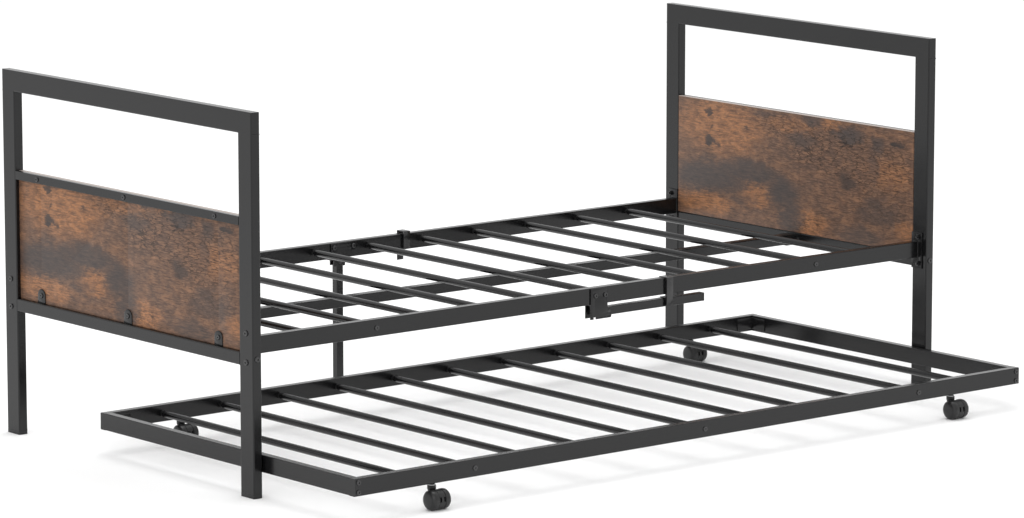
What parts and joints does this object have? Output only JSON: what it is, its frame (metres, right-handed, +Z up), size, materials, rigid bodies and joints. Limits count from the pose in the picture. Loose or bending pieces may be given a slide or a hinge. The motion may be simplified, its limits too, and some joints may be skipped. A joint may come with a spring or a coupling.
{
  "type": "trundle bed",
  "caption": "Single metal day bed with wood-panelled end frames, tube slats, folding mid legs and a low roll-out trundle on swivel casters.",
  "frame": {"origin": "on the floor, under the middle of the box round the bed and the trundle pulled out as at rest", "axes": "+X along the bed towards its right end frame, +Y towards the back of the bed, +Z up"},
  "size_m": [2.106, 1.346, 0.87],
  "materials": {
    "steel_frame": "charcoal-black powder coat, satin, faint orange-peel",
    "wood_panel": "rustic brown wood-grain board with dark smoky blotches, low sheen",
    "black_plastic": "moulded black plastic, fine matt texture",
    "caster_wheel": "moulded black plastic wheels, slightly polished treads",
    "bright_steel": "bright zinc-plated steel",
    "dark_bolts": "dark plated steel heads, slightly glossy"
  },
  "bodies": {
    "bed_frame": {"left_end_front_post": "steel_frame", "left_end_rear_post": "steel_frame", "left_end_top_bar": "steel_frame", "left_end_upper_crossbar": "steel_frame", "left_end_lower_crossbar": "steel_frame", "left_end_wood_panel": "wood_panel", "right_end_front_post": "steel_frame", "right_end_rear_post": "steel_frame", "right_end_top_bar": "steel_frame", "right_end_upper_crossbar": "steel_frame", "right_end_lower_crossbar": "steel_frame", "right_end_wood_panel": "wood_panel", "foot_caps": "black_plastic", "panel_tabs": "steel_frame", "crossbar_screws": "dark_bolts", "tab_screws": "dark_bolts", "crossbar_bolts": "dark_bolts", "front_side_rail": "steel_frame", "rear_side_rail": "steel_frame", "rail_end_plates": "steel_frame", "rail_bolts": "dark_bolts", "rail_nuts": "dark_bolts", "rail_screws": "dark_bolts", "bed_slats": "steel_frame", "bed_slat_end_plugs": "black_plastic", "centre_beam": "steel_frame", "beam_brackets": "steel_frame", "beam_bracket_screws": "dark_bolts", "front_leg_bracket": "steel_frame", "rear_leg_bracket": "steel_frame", "leg_bracket_bolts": "dark_bolts", "leg_pivot_pins": "dark_bolts", "front_leg_clip": "dark_bolts", "rear_leg_clip": "dark_bolts"},
    "front_leg": {"front_support_leg": "steel_frame", "front_leg_foot": "black_plastic"},
    "rear_leg": {"rear_support_leg": "steel_frame", "rear_leg_foot": "black_plastic"},
    "trundle": {"trundle_front_rail": "steel_frame", "trundle_rear_rail": "steel_frame", "trundle_left_rail": "steel_frame", "trundle_right_rail": "steel_frame", "trundle_slats": "steel_frame", "trundle_slat_end_plugs": "black_plastic", "trundle_corner_bolts": "dark_bolts", "trundle_screws": "dark_bolts", "trundle_corner_brackets": "steel_frame", "caster_stems": "bright_steel"},
    "front_left_caster": {"front_left_caster_housing": "black_plastic"},
    "front_left_wheels": {"front_left_caster_wheels": "caster_wheel", "front_left_caster_axle": "bright_steel"},
    "front_right_caster": {"front_right_caster_housing": "black_plastic"},
    "front_right_wheels": {"front_right_caster_wheels": "caster_wheel", "front_right_caster_axle": "bright_steel"},
    "rear_left_caster": {"rear_left_caster_housing": "black_plastic"},
    "rear_left_wheels": {"rear_left_caster_wheels": "caster_wheel", "rear_left_caster_axle": "bright_steel"},
    "rear_right_caster": {"rear_right_caster_housing": "black_plastic"},
    "rear_right_wheels": {"rear_right_caster_wheels": "caster_wheel", "rear_right_caster_axle": "bright_steel"}
  },
  "joints": [
    {"name": "trundle_slide", "type": "slide", "parent": "bed_frame", "child": "trundle", "axis": [0, -1, 0], "range_m": [-0.296, 0.62]},
    {"name": "front_leg_fold", "type": "hinge", "parent": "bed_frame", "child": "front_leg", "pos_m": [0.0135, -0.272, 0.3025], "axis": [0, 1, 0], "range_deg": [0, 50]},
    {"name": "rear_leg_fold", "type": "hinge", "parent": "bed_frame", "child": "rear_leg", "pos_m": [-0.088, 0.632, 0.311], "axis": [0, -1, 0], "range_deg": [0, 90]},
    {"name": "front_left_swivel", "type": "hinge", "parent": "trundle", "child": "front_left_caster", "pos_m": [-0.8, -0.631, 0.05], "axis": [0, 0, 1], "continuous": true},
    {"name": "front_left_wheel_spin", "type": "hinge", "parent": "front_left_caster", "child": "front_left_wheels", "pos_m": [-0.8, -0.65, 0.023], "axis": [1, 0, 0], "continuous": true},
    {"name": "front_right_swivel", "type": "hinge", "parent": "trundle", "child": "front_right_caster", "pos_m": [0.8, -0.631, 0.05], "axis": [0, 0, 1], "continuous": true},
    {"name": "front_right_wheel_spin", "type": "hinge", "parent": "front_right_caster", "child": "front_right_wheels", "pos_m": [0.8, -0.65, 0.023], "axis": [1, 0, 0], "continuous": true},
    {"name": "rear_left_swivel", "type": "hinge", "parent": "trundle", "child": "rear_left_caster", "pos_m": [-0.8, 0.314, 0.05], "axis": [0, 0, 1], "continuous": true},
    {"name": "rear_left_wheel_spin", "type": "hinge", "parent": "rear_left_caster", "child": "rear_left_wheels", "pos_m": [-0.8, 0.295, 0.023], "axis": [1, 0, 0], "continuous": true},
    {"name": "rear_right_swivel", "type": "hinge", "parent": "trundle", "child": "rear_right_caster", "pos_m": [0.8, 0.314, 0.05], "axis": [0, 0, 1], "continuous": true},
    {"name": "rear_right_wheel_spin", "type": "hinge", "parent": "rear_right_caster", "child": "rear_right_wheels", "pos_m": [0.8, 0.295, 0.023], "axis": [1, 0, 0], "continuous": true}
  ]
}
